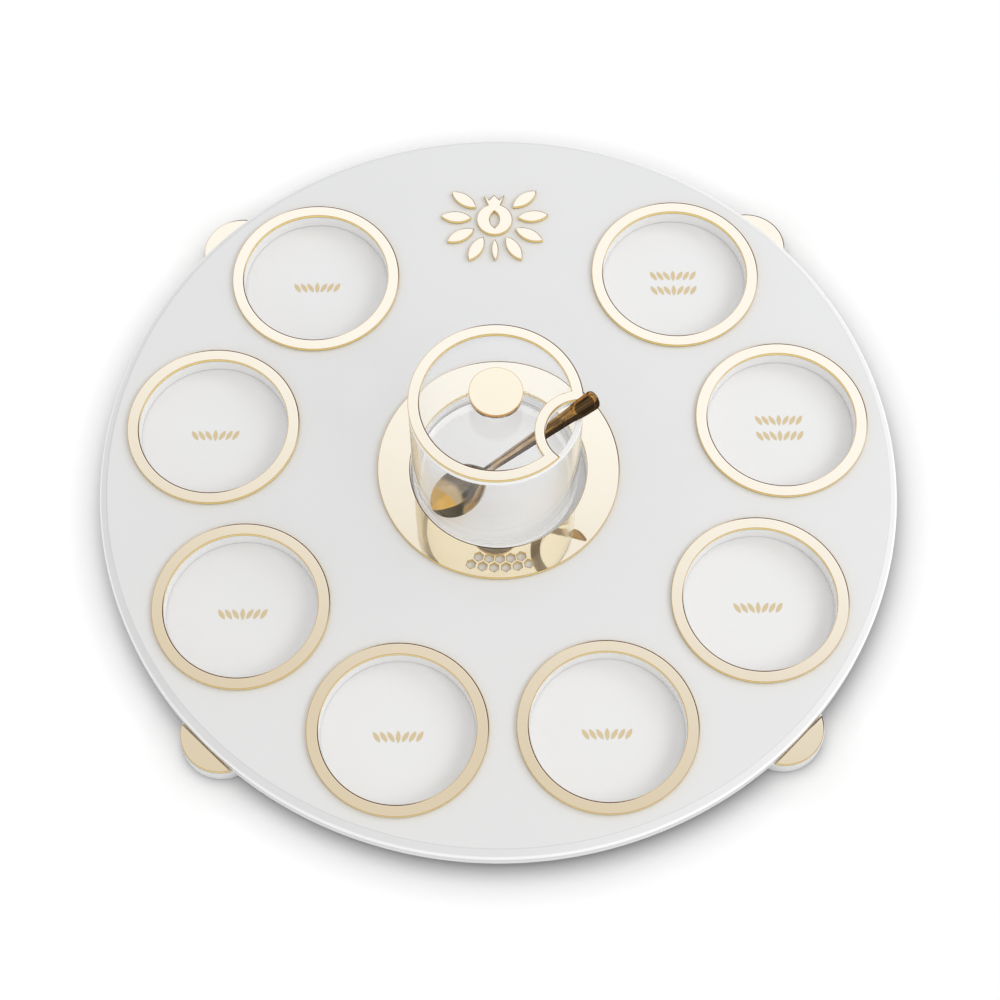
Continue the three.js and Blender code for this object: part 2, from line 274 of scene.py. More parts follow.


# %% [markdown]
# ## Gold mirror acrylic
# This sheet is 2 mm of tinted acrylic with a mirror coating and a grey paint on its back. From above
# it is a pale gold mirror. Its cut edge shows the tint in depth, a deep saturated gold, over the thin
# dark line of the backing. Close to an edge that faces away to the right and back, the real sheet
# shows its own dark side through its top, as a near-black stripe beside a bright gold hairline. Real
# glass over a mirror could give this, but it is slow and clean only from one side. So here both are
# painted: a painted dark reflection stripe and a painted highlight. The mesh stores how far each
# point is from the edge, how deep below the top, and which way the edge faces, and the finish turns
# these three numbers into the painted bands. The knob's face is a deeper gold: it is too small to
# show a stripe, and the laser went round it slowly and left its edge amber.

# %% Mix the gold mirror
gold = material("gold mirror acrylic")
inward, down, faces_dark = (stored(gold, n) for n in ("inward_mm", "down_mm", "faces_dark"))
height = gold.node("ShaderNodeSeparateXYZ", {}, {0: object_place(gold)}, "Z")
knob_level = Round("knob_cap").bottom * MM
on_knob = soft_step(height, knob_level - 0.6 * MM, knob_level - 0.2 * MM)
dark_side = soft_step(faces_dark, 0.35, 0.75) * (1 - on_knob)
# Painted dark reflection: a near-black stripe on edges that face the dark side, and a painted highlight just
# inside it.
painted_dark_stripe = dark_side * (1 - soft_step(inward, 0.5, 0.62)) * (1 - soft_step(down, 0.1, 0.3))
painted_glint = dark_side * soft_step(inward, 0.58, 0.66) * (1 - soft_step(inward, 0.9, 1.0))
side = soft_step(down, 0.05, 0.3)
backing = soft_step(down, 1.62, 1.72)
hairline = (1 - soft_step(inward, 0.24, 0.4)) * (1 - side)
sheet_tone = blend(gold, noise(gold, 40, 2.0), (0.93, 0.835, 0.65, 1), (0.91, 0.81, 0.61, 1))
gold.surface({
    "Base Color": coats(gold, sheet_tone, [
        (on_knob, (0.93, 0.81, 0.58)),
        (hairline * 0.8, (0.66, 0.42, 0.16)),
        (painted_glint * 0.8, (1.0, 0.95, 0.82)),
        (side, (1.0, 0.76, 0.22)),
        (side * on_knob, (0.72, 0.34, 0.06)),
        (painted_dark_stripe, (0.17, 0.075, 0.015)),
        (backing, (0.22, 0.17, 0.11)),
    ]),
    "Metallic": 1 - side * 0.45 - backing * 0.45,
    "Roughness": 0.015 + noise(gold, 3, 3.0) * 0.025 + side * 0.22,
    "Normal": bump(gold, noise(gold, 14, 1.0), 0.02),
    "Coat Weight": 0.6 - painted_dark_stripe * 0.6,
    "Coat Roughness": 0.03,
    "Coat IOR": 1.49,
})
gold_mirror = gold.owner
print("gold mirror nodes:", len(gold.tree.nodes))


# %% [markdown]
# ## Clear acrylic
# Polished acrylic bends light like thin glass. A true glass shader makes the lid cast a dark shadow
# on what is under it, which real acrylic doesn't, because light goes through it. So for shadow rays,
# and for the light that white surfaces gather, the material is simply transparent. Real acrylic has
# an index of 1.49, and the lid has it, so the knob is reflected in it. The dish is set to 1.15,
# because it stands in a white room with no dark side, and at full strength each wall lays a pale veil
# over the spoon. Wiping leaves faint hairlines, which are a roughness and a bump that hardly show.
# The cut edges are another matter: a saw or laser leaves them frosted, and in real acrylic they glow
# with the light that runs inside the sheet, so here they get a little emission, a painted glow. The
# dish's underside and rim are frosted too, but stay plain.

# %% Mix the clear acrylic
def clear_acrylic(name, index):
    finish = material(name)
    wiped = soft_step(noise(finish, 1.5, 2.0, (1, 1, 0.08)), 0.6, 0.8)
    finish.surface({
        "Base Color": (*grey(0.997), 1),
        "Roughness": wiped * 0.02,
        "Transmission Weight": 1.0,
        "IOR": index,
        "Normal": bump(finish, noise(finish, 18, 1.0), 0.01),
    })
    rays = [light_path(finish, n) for n in ("Is Shadow Ray", "Is Diffuse Ray")]
    through = finish.node("ShaderNodeBsdfTransparent", {}, {"Color": (*grey(0.995), 1)})
    glass = Wire(finish, finish.shader.outputs[0])
    passing = finish.maths("MAXIMUM", *rays)
    finish.close(finish.node("ShaderNodeMixShader", {}, {0: passing, 1: glass, 2: through}))
    return finish.owner


dish_clear = clear_acrylic("clear acrylic dish", 1.15)
lid_clear = clear_acrylic("clear acrylic lid", 1.49)


def frosted_acrylic(name, glow):
    finish = material(name)
    frost = noise(finish, 0.5, 3.0)
    finish.surface({
        "Base Color": blend(finish, frost, (*grey(0.84), 1), (*grey(0.98), 1)),
        "Roughness": 0.35 + frost * 0.2,
        "IOR": 1.49,
        "Normal": bump(finish, frost, 0.02),
        "Emission Strength": glow,
    })
    return finish.owner


# A painted glow: emission on the frosted cut edges.
frosted_edge = frosted_acrylic("frosted cut edge", 0.1)
frosted_plain = frosted_acrylic("frosted underside and rim", 0.0)
print("clear acrylics:", dish_clear.name, lid_clear.name, "frosted:", frosted_edge.name)


# %% [markdown]
# ## Dark bronze
# The spoon is polished metal with a dark brown-gold plating. The plating is a little uneven: more
# golden where it is rubbed, and darker up the handle. Reflections are painted into its colour: in the
# bowl a beige patch, a dark grey-brown patch, a pale band at the far rim and a near-black band at the
# low edge, and along the handle's lower side a painted dark reflection. The mesh stores how far along
# and across the spoon each point lies, so a noise over these two numbers gives the polish long streaks
# in its roughness and painted dark reflection streaks in its colour, which follow the handle.

# %% Mix the dark bronze
bronze = material("dark bronze plating")
rubbed = soft_step(noise(bronze, 9, 3.0), 0.35, 0.7)
worn, along_mm, across_share = (stored(bronze, n) for n in ("raised", "along_mm", "across"))
drawn_place = bronze.node("ShaderNodeCombineXYZ", {}, {"X": along_mm * 0.03, "Y": across_share * 2.2})
drawn = bronze.node("ShaderNodeTexNoise", {}, {"Vector": drawn_place, "Scale": 2.0, "Detail": 4.0}, "Fac")
on_handle = soft_step(along_mm, 40, 52)
in_bowl = 1 - on_handle
near_end = soft_step(along_mm, 62, 84)
edge_wander = drawn * 6 - 3
to_lower_side = across_share * -1.0
# Painted reflections in the bowl: a beige patch past the tip, a dark grey-brown patch, a pale band at the far
# rim, a near-black band at the low edge.
painted_tip_reflection = soft_step(along_mm + across_share * 3 + edge_wander * 0.3, 9, 10.8)
painted_bowl_reflection = soft_step(along_mm + across_share * 2, 14, 18)
painted_rim_reflection = soft_step(to_lower_side + (along_mm - 20) * 0.03, 0.5, 0.7) * soft_step(along_mm, 15, 18)
painted_low_edge_dark = soft_step(across_share * -10 + edge_wander * 0.3, 4.0, 4.6) * (1 - soft_step(along_mm, 13.5, 16.5))
# Painted dark reflection streaks along the handle, and a painted dark reflection along its lower side.
painted_streak = soft_step(drawn, 0.46, 0.54) * on_handle * (0.3 + near_end * 0.5)
painted_dark_lower_side = soft_step(to_lower_side, 0.22, 0.42) * on_handle
plating = blend(bronze, rubbed, (0.76, 0.46, 0.10, 1), (0.88, 0.54, 0.13, 1))
tone = coats(bronze, plating, [
    (soft_step(across_share, 0.1, 0.45), (0.60, 0.36, 0.10)),
    (painted_tip_reflection * in_bowl, (0.58, 0.47, 0.34)),
    (painted_bowl_reflection * in_bowl, (0.22, 0.195, 0.175)),
    (painted_rim_reflection * in_bowl, (0.62, 0.54, 0.48)),
    (painted_low_edge_dark * in_bowl, (0.014, 0.008, 0.004)),
    (on_handle, (0.64, 0.49, 0.35)),
    (near_end, (0.46, 0.29, 0.12)),
    (painted_streak, (0.10, 0.058, 0.03)),
    (soft_step(worn * -1.0, 0.2, 0.8) * 0.85, (0.07, 0.04, 0.018)),
    (worn * 0.9, (0.72, 0.30, 0.05)),
    (painted_dark_lower_side * (0.85 + near_end * 0.1), (0.035, 0.022, 0.014)),
])
bronze.surface({
    "Base Color": tone,
    "Metallic": 1.0,
    "Roughness": 0.1 + drawn * 0.1 + rubbed * 0.03,
    "Normal": bump(bronze, noise(bronze, 5, 2.0), 0.01),
})
dark_bronze = bronze.owner
print("dark bronze nodes:", len(bronze.tree.nodes))


# %% [markdown]
# ## Printed gold
# The small marks on the well floors are screen printed in a matte gold ink, so they don't mirror.
# Ink lies a little thicker in some places, which noise gives to its colour and its height.

# %% Mix the printing ink
ink = material("matte gold ink")
cover = noise(ink, 0.6, 3.0)
ink.surface({
    "Base Color": blend(ink, cover, (0.72, 0.58, 0.34, 1), (0.78, 0.65, 0.42, 1)),
    "Metallic": 0.25,
    "Roughness": 0.5 + cover * 0.1,
    "Normal": bump(ink, cover, 0.01),
})
gold_ink = ink.owner
print("ink nodes:", len(ink.tree.nodes))


# %% [markdown]
# ## Outlines
# Laser-cut pieces are flat outlines with a thickness. An outline here is a loop of points with the
# material on its left: outer edges run anticlockwise, and holes clockwise.

# %% Draw outlines
def arc(radius, start, end, count, centre=(0, 0)):
    """count + 1 points along a circle, from one angle to another in degrees."""
    angle = np.radians(np.linspace(start, end, count + 1))
    return np.stack([np.cos(angle), np.sin(angle)], 1) * radius + centre


def circle(radius, count, centre=(0, 0)):
    return arc(radius, 0, 360, count, centre)[:-1]


def polar(radius, degrees):
    return radius * np.array([math.cos(math.radians(degrees)), math.sin(math.radians(degrees))])


def hole(outline):
    return outline[::-1]


def outward(outline):
    """The direction out of the material at each point, and how far its mitre reaches."""
    ahead = np.roll(outline, -1, 0) - outline
    ahead /= np.linalg.norm(ahead, axis=1)[:, None]
    right = np.stack([ahead[:, 1], -ahead[:, 0]], 1)
    both = right + np.roll(right, 1, 0)
    both /= np.linalg.norm(both, axis=1)[:, None]
    reach = 1 / np.maximum((both * right).sum(1), 0.4)
    return both, reach


def clear_of_corners(outline, reach):
    """Leaves out points that lie so near a sharp corner that an inset would cross itself there."""
    ahead = np.roll(outline, -1, 0) - outline
    angle = np.arctan2(ahead[:, 1], ahead[:, 0])
    turn = (angle - np.roll(angle, 1) + math.pi) % math.tau - math.pi
    sharp = np.abs(turn) > math.radians(35)
    if not sharp.any():
        return outline
    distance = np.linalg.norm(outline[:, None] - outline[sharp][None], axis=2).min(1)
    return outline[sharp | (distance > reach)]


# %% [markdown]
# ## From outline to piece
# A skin is built ring by ring: the outline is moved in by a small inset and set at a height, each
# ring is joined to the next, and flat faces close the two ends. An extrude with a Bevel modifier
# would also round the edges, but this way each point knows its distance from the edge, which the
# gold finish needs. Weighted normals then keep the flat faces flat and the small roundings smooth.

# %% Build skins from rings of points
# Edges that face this way get the gold finish's painted dark reflection stripe.
DARK_SIDE = polar(1, 50)
FLAT_MIDDLE = 9.0


def remember(mesh, numbers):
    """Keeps named numbers at the points of a mesh, for the finishes to read."""
    for key, values in numbers.items():
        mesh.attributes.new(key, "FLOAT", "POINT").data.foreach_set("value", values)


class Skin:
    """Rings of points in millimetres, joined into one closed surface."""

    def __init__(self):
        self.points, self.faces, self.looks = [], [], []
        self.numbers = {"inward_mm": [], "down_mm": [], "faces_dark": []}

    def ring(self, outline, inset, height, top):
        direction, reach = outward(outline)
        moved = outline - direction * (reach * inset)[:, None]
        first = len(self.points)
        self.points += [(x, y, height) for x, y in moved]
        self.numbers["inward_mm"] += [inset] * len(outline)
        self.numbers["down_mm"] += [top - height] * len(outline)
        self.numbers["faces_dark"] += list(direction @ DARK_SIDE)
        return list(range(first, len(self.points)))

    def strip(self, low, high, look=0):
        for i in range(len(low)):
            j = (i + 1) % len(low)
            self.faces.append((low[i], low[j], high[j], high[i]))
        self.looks += [look] * len(low)

    def fill(self, rings, up):
        loops = [[Vector(self.points[i]) for i in ring] for ring in rings]
        flat = [i for ring in rings for i in ring]
        for triangle in geometry.tessellate_polygon(loops):
            a, b, c = (flat[i] for i in triangle)
            turn = np.linalg.det(np.array([self.points[i][:2] for i in (b, c)]) - self.points[a][:2])
            if abs(turn) > 1e-9:
                self.faces.append((a, b, c) if (turn > 0) == up else (a, c, b))
                self.looks.append(0)

    def wall(self, outline, profile, look=0):
        """The rings of one edge from bottom to top. The profile gives each one's inset and height."""
        top = profile[-1][1]
        rings = [self.ring(outline, inset, height, top) for inset, height in profile]
        for low, high in zip(rings, rings[1:]):
            self.strip(low, high, look)
        for i in rings[-1]:
            self.numbers["inward_mm"][i] = FLAT_MIDDLE
        return rings[0], rings[-1]

    def sheet(self, edges):
        """A closed sheet from its edges, each an outline with its profile."""
        ends = []
        for outline, profile in edges:
            widest = max(inset for inset, _ in profile)
            ends.append(self.wall(clear_of_corners(outline, widest * 2.3), profile))
        self.fill([bottom for bottom, _ in ends], up=False)
        self.fill([top for _, top in ends], up=True)

    def mesh(self, name):
        """The finished surface in metres, with what each point knows of its place."""
        made = bpy.data.meshes.new(name)
        made.from_pydata((np.array(self.points) * MM).tolist(), [], self.faces)
        remember(made, self.numbers)
        made.polygons.foreach_set("material_index", self.looks)
        made.validate()
        return made


def cut(name, *sheets):
    """The mesh of a piece cut from sheet: one or more sheets, each a list of edges."""
    skin = Skin()
    for edges in sheets:
        skin.sheet(edges)
    return skin.mesh(name)


print("dark side towards", DARK_SIDE.round(2))


# %% [markdown]
# ## Putting a piece in its place
# Every piece rides on a body of the model and stands for the model's own nodes. One function does
# this for all of them, smooths the surface and prints how many triangles it has.

# %% Turn a mesh into a piece of the object
pieces = []


def place(name, mesh, body, nodes, slot, looks, smooth_below=35):
    chosen = [polygon.material_index if len(looks) > 1 else 0 for polygon in mesh.polygons]
    mesh.materials.clear()
    for look in looks:
        mesh.materials.append(look)
    mesh.polygons.foreach_set("material_index", chosen)
    mesh.shade_smooth()
    mesh.set_sharp_from_angle(angle=math.radians(smooth_below))
    piece = bpy.data.objects.new(name, mesh)
    bpy.context.scene.collection.objects.link(piece)
    weighted = piece.modifiers.new("flat faces stay flat", "WEIGHTED_NORMAL")
    weighted.keep_sharp = True
    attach(piece, body)
    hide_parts(*nodes)
    mesh.calc_loop_triangles()
    print(f"{name}: {len(mesh.loop_triangles)} triangles")
    pieces.append(piece)


def rounded(bottom, top, radius, steps=3, foot=None):
    """An edge profile with both corners rounded, as (inset, height) from the bottom up."""
    foot = radius if foot is None else foot
    turn = [math.radians(90 * i / steps) for i in range(steps + 1)]
    low = [(foot * (1 - math.sin(t)), bottom + foot * (1 - math.cos(t))) for t in turn]
    high = [(radius * (1 - math.cos(t)), top - radius * (1 - math.sin(t))) for t in turn]
    return low + high


# %% [markdown]
# ## The slab
# The slab is 8 mm thick, with eight wells, a larger well in the middle, and a wide bevel round its
# rim that catches the light. Boolean cuts would work, but they leave ragged triangles round the
# holes. Here the nine holes and the rim are edges of one sheet, so each wall is an even strip.

# %% Cut the slab
WELLS = 8
RIM_STEPS, RING_STEPS, WELL_STEPS = 288, 192, 144
RING_SETBACK = 0.2
RING_BAND, MIDDLE_BAND = 5.9, 16.5
well_circle = float(np.linalg.norm(first_ring.centre))
well_radius = first_ring.radius - RING_BAND - RING_SETBACK
well_places = [polar(well_circle, 90 + 360 / 9 * (i + 1)) for i in range(WELLS)]

bevel_foot = slab.top - BEVEL[1]
rim = [(0.12, slab.bottom), (0.0, slab.bottom + 0.12), (0.0, bevel_foot - 0.5), (0.08, bevel_foot - 0.1),
       (0.35, bevel_foot + 0.35), (BEVEL[0] - 0.5, slab.top - 0.5), (BEVEL[0] - 0.1, slab.top - 0.14),
       (BEVEL[0] + 0.35, slab.top - 0.02), (BEVEL[0] + 0.8, slab.top)]
well_edge = rounded(slab.bottom, slab.top, 0.35, foot=0.02)
middle_well = middle_ring.radius - MIDDLE_BAND - RING_SETBACK
edges = [(circle(slab.radius, RIM_STEPS), rim)]
edges += [(hole(circle(well_radius, WELL_STEPS, centre)), well_edge) for centre in well_places]
edges += [(hole(circle(middle_well, WELL_STEPS)), well_edge)]
place("slab", cut("slab", edges), "plate", ["plate_top"], "white_acrylic", [slab_white])
print("wells of", round(2 * well_radius, 1), "mm on a circle of", round(2 * well_circle, 1), "mm")


# %% [markdown]
# ## The floor disc
# A 3 mm disc is glued under the slab and is the floor of every well. Its rim shows as a second thin
# line below the slab, because both cut edges are slightly rounded.

# %% Cut the floor disc
disc_edge = rounded(floor_disc.bottom, floor_disc.top, 0.12, foot=0.5)
disc_mesh = cut("floor_disc", [(circle(floor_disc.radius, RIM_STEPS), disc_edge)])
place("floor_disc", disc_mesh, "plate", ["base_plate"], "white_acrylic", [floor_white])


# %% [markdown]
# ## One piece repeated round a circle
# Rings, feet and printed marks repeat round the plate. Geometry Nodes do this once for all: points
# on a circle, an instance of the piece on each, then Realize Instances, because the finished model
# keeps only plain meshes. The count, the radius and the first angle are named inputs of the tree, so
# the same tree serves the eight rings and the four feet.

# %% Build the tree that repeats a piece
def new_tree(name, inputs):
    """A tree with named inputs, and the wires that these give."""
    group = bpy.data.node_groups.new(name, "GeometryNodeTree")
    group.interface.new_socket("Geometry", in_out="INPUT", socket_type="NodeSocketGeometry")
    for key, (kind, value) in inputs.items():
        made = group.interface.new_socket(key, in_out="INPUT", socket_type=f"NodeSocket{kind}")
        made.default_value = value
    group.interface.new_socket("Geometry", in_out="OUTPUT", socket_type="NodeSocketGeometry")
    tree = Tree(group)
    return tree, {socket.name: Wire(tree, socket) for socket in group.nodes.new("NodeGroupInput").outputs}


def set_on(tree, given, points, rotation=(0, 0, 0)):
    """Ends a tree: the piece on every point, made real and given its finish."""
    sockets = {"Points": points, "Instance": given["Geometry"], "Rotation": rotation}
    copies = tree.node("GeometryNodeInstanceOnPoints", {}, sockets)
    real = tree.node("GeometryNodeRealizeInstances", {}, {"Geometry": copies})
    dressed = tree.node("GeometryNodeSetMaterial", {}, {"Geometry": real, "Material": given["Finish"]})
    tree.plug(tree.tree.nodes.new("NodeGroupOutput").inputs[0], dressed)
    return tree.tree


def round_the_plate():
    tree, given = new_tree("repeat round the plate", {
        "Places": ("Int", 8),
        "Left Out": ("Int", 0),
        "Radius": ("Float", 0.1),
        "First Angle": ("Float", 0.0),
        "Finish": ("Material", None),
    })
    step = tree.maths("DIVIDE", math.tau, given["Places"])
    turn = tree.maths("MULTIPLY_ADD", tree.node("GeometryNodeInputIndex"), step, given["First Angle"])
    way = tree.node("ShaderNodeCombineXYZ", {}, {0: tree.maths("COSINE", turn), 1: tree.maths("SINE", turn)})
    spot = tree.node("ShaderNodeVectorMath", {"operation": "SCALE"}, {0: way, "Scale": given["Radius"]})
    kept = given["Places"] - given["Left Out"]
    points = tree.node("GeometryNodePoints", {}, {"Count": kept, "Position": spot})
    return set_on(tree, given, points)


def grow(mesh, tree, inputs):
    """Runs a tree on a mesh and returns the plain mesh that it makes."""
    holder = bpy.data.objects.new("holder", mesh)
    bpy.context.scene.collection.objects.link(holder)
    modifier = holder.modifiers.new("tree", "NODES")
    modifier.node_group = tree
    for socket in tree.interface.items_tree:
        if socket.in_out == "INPUT" and socket.name in inputs:
            modifier[socket.identifier] = inputs[socket.name]
    evaluated = holder.evaluated_get(bpy.context.evaluated_depsgraph_get())
    made = bpy.data.meshes.new_from_object(evaluated)
    bpy.data.objects.remove(holder)
    print("grown:", len(made.vertices), "points")
    return made


repeat_tree = round_the_plate()


# %% [markdown]
# ## The gold rings round the wells
# Each ring is a flat band of the 2 mm mirror sheet. The band is drawn once at the origin with its
# edge strips, and the tree sets it round the plate. Nine places would fill the circle evenly. The
# ninth, at the back, is left out, because the ornament lies there.

# %% Cut and repeat the rings
def gold_edge(bottom, top, bands=(0.3, 0.95, 1.4), radius=0.12):
    return rounded(bottom, top, radius, foot=0.05) + [(inset, top) for inset in bands]


ring_edge = gold_edge(first_ring.bottom, first_ring.top)
ring_mesh = cut("well_ring", [
    (circle(first_ring.radius, RING_STEPS), ring_edge),
    (hole(circle(first_ring.radius - RING_BAND, RING_STEPS)), ring_edge),
])
rings = grow(ring_mesh, repeat_tree, {
    "Places": WELLS + 1, "Left Out": 1, "Radius": well_circle * MM,
    "First Angle": math.radians(90 + 360 / (WELLS + 1)), "Finish": gold_mirror,
})
ring_nodes = [f"well_ring_{i + 1}" for i in range(WELLS)]
place("well_rings", rings, "plate", ring_nodes, "gold_mirror", [gold_mirror])


# %% [markdown]
# ## The middle ring and its honeycomb
# The ring round the honey dish is wide, and at its front a small honeycomb is cut right through it.
# The cells are holes of the same sheet. Their rows follow the ring, half a cell apart.

# %% Cut the middle ring
CELL_RADIUS, CELL_WALL = 2.6, 1.1
CELL_ROWS = (5, 6)


def honeycomb(middle):
    pitch = CELL_RADIUS * math.sqrt(3) + CELL_WALL
    cells = []
    for row, count in enumerate(CELL_ROWS):
        radius = middle + (row - 0.5) * pitch * math.sqrt(3) / 2
        for i in range(count):
            angle = 270 + math.degrees((i - (count - 1) / 2) * pitch / middle)
            cells.append(arc(CELL_RADIUS, angle, angle + 300, 5, polar(radius, angle)))
    return cells


inner = middle_ring.radius - MIDDLE_BAND
wide_edge = gold_edge(middle_ring.bottom, middle_ring.top)
cell_edge = gold_edge(middle_ring.bottom, middle_ring.top, bands=(0.2, 0.28), radius=0.1)
edges = [(circle(middle_ring.radius, RIM_STEPS), wide_edge), (hole(circle(inner, RIM_STEPS)), wide_edge)]
edges += [(hole(cell), cell_edge) for cell in honeycomb(inner + MIDDLE_BAND / 2)]
place("middle_ring", cut("middle_ring", edges), "plate", ["centre_ring"], "gold_mirror", [gold_mirror])
print("honeycomb cells:", sum(CELL_ROWS))


# %% [markdown]
# ## The feet and their gold caps
# Four round white feet stand under the rim, and half of each shows outside it. That half is covered
# with a segment of gold mirror. The feet come from the repeating tree. The caps turn with their
# corner while the dark edge side stays fixed in space, so they are cut one by one in place.

# %% Make the feet and caps
foot, cap = Round("foot_front_left"), Round("cap_front_left")
foot_circle = float(np.linalg.norm(foot.centre))
corners = {"front_left": 225, "front_right": 315, "back_left": 135, "back_right": 45}
foot_mesh = cut("foot", [(circle(foot.radius, 96), rounded(foot.bottom, foot.top, 0.35, foot=0.6))])
feet = grow(foot_mesh, repeat_tree, {
    "Places": 4, "Left Out": 0, "Radius": foot_circle * MM, "First Angle": math.radians(45),
    "Finish": foot_white,
})
place("feet", feet, "plate", [f"foot_{c}" for c in corners], "white_acrylic", [foot_white])

CAP_SETBACK, CAP_GAP, CAP_STEPS = 0.5, 0.3, 72
cap_radius = foot.radius - CAP_SETBACK
chord = slab.radius - foot_circle + CAP_GAP
half_arc = math.degrees(math.acos(chord / cap_radius))
segments = [arc(cap_radius, angle - half_arc, angle + half_arc, CAP_STEPS, polar(foot_circle, angle))
            for angle in corners.values()]
caps = cut("foot_caps", *([(segment, gold_edge(cap.bottom, cap.top))] for segment in segments))
place("foot_caps", caps, "plate", [f"cap_{c}" for c in corners], "gold_mirror", [gold_mirror])


# %% [markdown]
# ## The ornament
# At the back lies a pomegranate on its stem between two sprays of leaves, the fruit of this table,
# cut from the same mirror sheet. A leaf is a lens of two arcs, and so is the slot in the fruit.

# %% Cut the ornament
FRUIT_RADIUS = 9.5
CROWN_HEIGHT, CROWN_NECK, CROWN_SPREAD = 6.5, 6.4, 11.0
SEED_SLOT = (11.0, 5.5)
LEAF = (16.5, 6.6)
STEM = (13.0, 3.4)
LEAF_GAP, LEAVES_PER_SIDE, LEAF_FIRST_ANGLE, LEAF_PITCH = 3.0, 4, 38, 33


def lens(length, width, count=14):
    """Two arcs that meet in a point at each end, along X."""
    bulge = (length ** 2 + width ** 2) / (4 * width)
    half = math.degrees(math.asin(length / 2 / bulge))
    upper = arc(bulge, 90 - half, 90 + half, count, (0, width / 2 - bulge))
    return np.concatenate([upper[:-1], -upper[:-1]])


def turned(outline, degrees, place=(0, 0)):
    c, s = polar(1, degrees)
    return outline @ np.array([[c, s], [-s, c]]) + place


def fruit():
    shoulder = math.degrees(math.asin(CROWN_NECK / 2 / FRUIT_RADIUS))
    base = FRUIT_RADIUS * math.cos(math.radians(shoulder))
    body = arc(FRUIT_RADIUS, 90 + shoulder, 450 - shoulder, 80)
    low, high = base + CROWN_HEIGHT / 2, base + CROWN_HEIGHT
    crown = [(CROWN_SPREAD / 2, high), (CROWN_SPREAD / 4, low), (0, high), (-CROWN_SPREAD / 4, low),
             (-CROWN_SPREAD / 2, high)]
    return np.concatenate([body, crown])


centre = polar(well_circle, 90)
thin_edge = gold_edge(first_ring.bottom, first_ring.top, bands=(0.3, 0.7))
stem_place = centre - (0, FRUIT_RADIUS + LEAF_GAP + STEM[0] / 2)
reach = FRUIT_RADIUS + LEAF_GAP + LEAF[0] / 2
sheets = [
    [(fruit() + centre, thin_edge), (hole(turned(lens(*SEED_SLOT), 90, centre)), thin_edge)],
    [(turned(lens(*STEM), 90, stem_place), thin_edge)],
]
for i in range(2 * LEAVES_PER_SIDE):
    right = LEAF_FIRST_ANGLE - LEAF_PITCH * (i % LEAVES_PER_SIDE)
    angle = 180 - right if i < LEAVES_PER_SIDE else right
    sheets.append([(turned(lens(*LEAF), angle, centre + polar(reach, angle)), thin_edge)])
leaf_nodes = [f"ornament_leaf_{i + 1}" for i in range(2 * LEAVES_PER_SIDE)]
ornament_nodes = ["ornament_fruit", "ornament_stem", *leaf_nodes]
place("ornament", cut("ornament", *sheets), "plate", ornament_nodes, "gold_mirror", [gold_mirror])


# %% [markdown]
# ## Printed marks on the well floors
# Each floor has a small mark in matte gold: a short row of leaves, and in two wells a double row. A
# tree sets one leaf along a line, and the leaves on the two sides of the middle one lean opposite
# ways. The print is a tenth of a millimetre high, so that it never flickers against the floor it lies on.

# %% Grow the printed marks
def leaf_row_tree():
    tree, given = new_tree("row of leaves", {
        "Leaves": ("Int", 7),
        "Pitch": ("Float", 0.004),
        "Tilt": ("Float", 0.6),
        "Middle": ("Vector", (0, 0, 0)),
        "Finish": ("Material", None),
    })
    along = tree.node("GeometryNodeInputIndex") - (given["Leaves"] - 1.0) * 0.5
    spot = tree.node("ShaderNodeCombineXYZ", {}, {0: along * given["Pitch"]})
    moved = tree.node("ShaderNodeVectorMath", {"operation": "ADD"}, {0: spot, 1: given["Middle"]})
    points = tree.node("GeometryNodePoints", {}, {"Count": given["Leaves"], "Position": moved})
    lean = tree.node("ShaderNodeCombineXYZ", {}, {2: tree.maths("SIGN", along) * given["Tilt"]})
    return set_on(tree, given, points, lean)


PRINT_HEIGHT = 0.1
MARK_LEAF, MARK_PITCH, MARK_TILT = (6.4, 2.3), 3.5, -0.55
ONE_ROW, TWO_ROWS, FIRST_DOUBLE = (-1.0,), (-5.0, 4.0), 6
row_tree = leaf_row_tree()
leaf_edge = [(0, floor_disc.top), (0, floor_disc.top + PRINT_HEIGHT)]
leaf_mesh = cut("mark", [(turned(lens(*MARK_LEAF, count=10), 90), leaf_edge)])
mark_points, mark_faces = [], []
for i, spot in enumerate(well_places):
    for row in TWO_ROWS if i >= FIRST_DOUBLE else ONE_ROW:
        grown = grow(leaf_mesh, row_tree, {
            "Leaves": 7, "Pitch": MARK_PITCH * MM, "Tilt": MARK_TILT,
            "Middle": (spot[0] * MM, (spot[1] + row) * MM, 0), "Finish": gold_ink})
        first = len(mark_points)
        mark_points += [tuple(v.co) for v in grown.vertices]
        mark_faces += [tuple(first + v for v in p.vertices) for p in grown.polygons]
marks_mesh = bpy.data.meshes.new("printed_marks")
marks_mesh.from_pydata(mark_points, [], mark_faces)
place("printed_marks", marks_mesh, "plate", [], "gold_mirror", [gold_ink])


# %% [markdown]
# ## The honey dish
# The dish is a straight clear cup with a 3 mm wall and floor. It is turned like on a lathe: one half
# profile, spun round the axis. The profile has small roundings at the rim, where polished acrylic
# shows its brightest lines. The rim, the underside and the foot of the wall are left frosted, as the
# saw made them, and two fine turned lines run round the wall above the foot. A clear rim would also
# catch light that runs up and down inside the wall, which no renderer follows to its end.

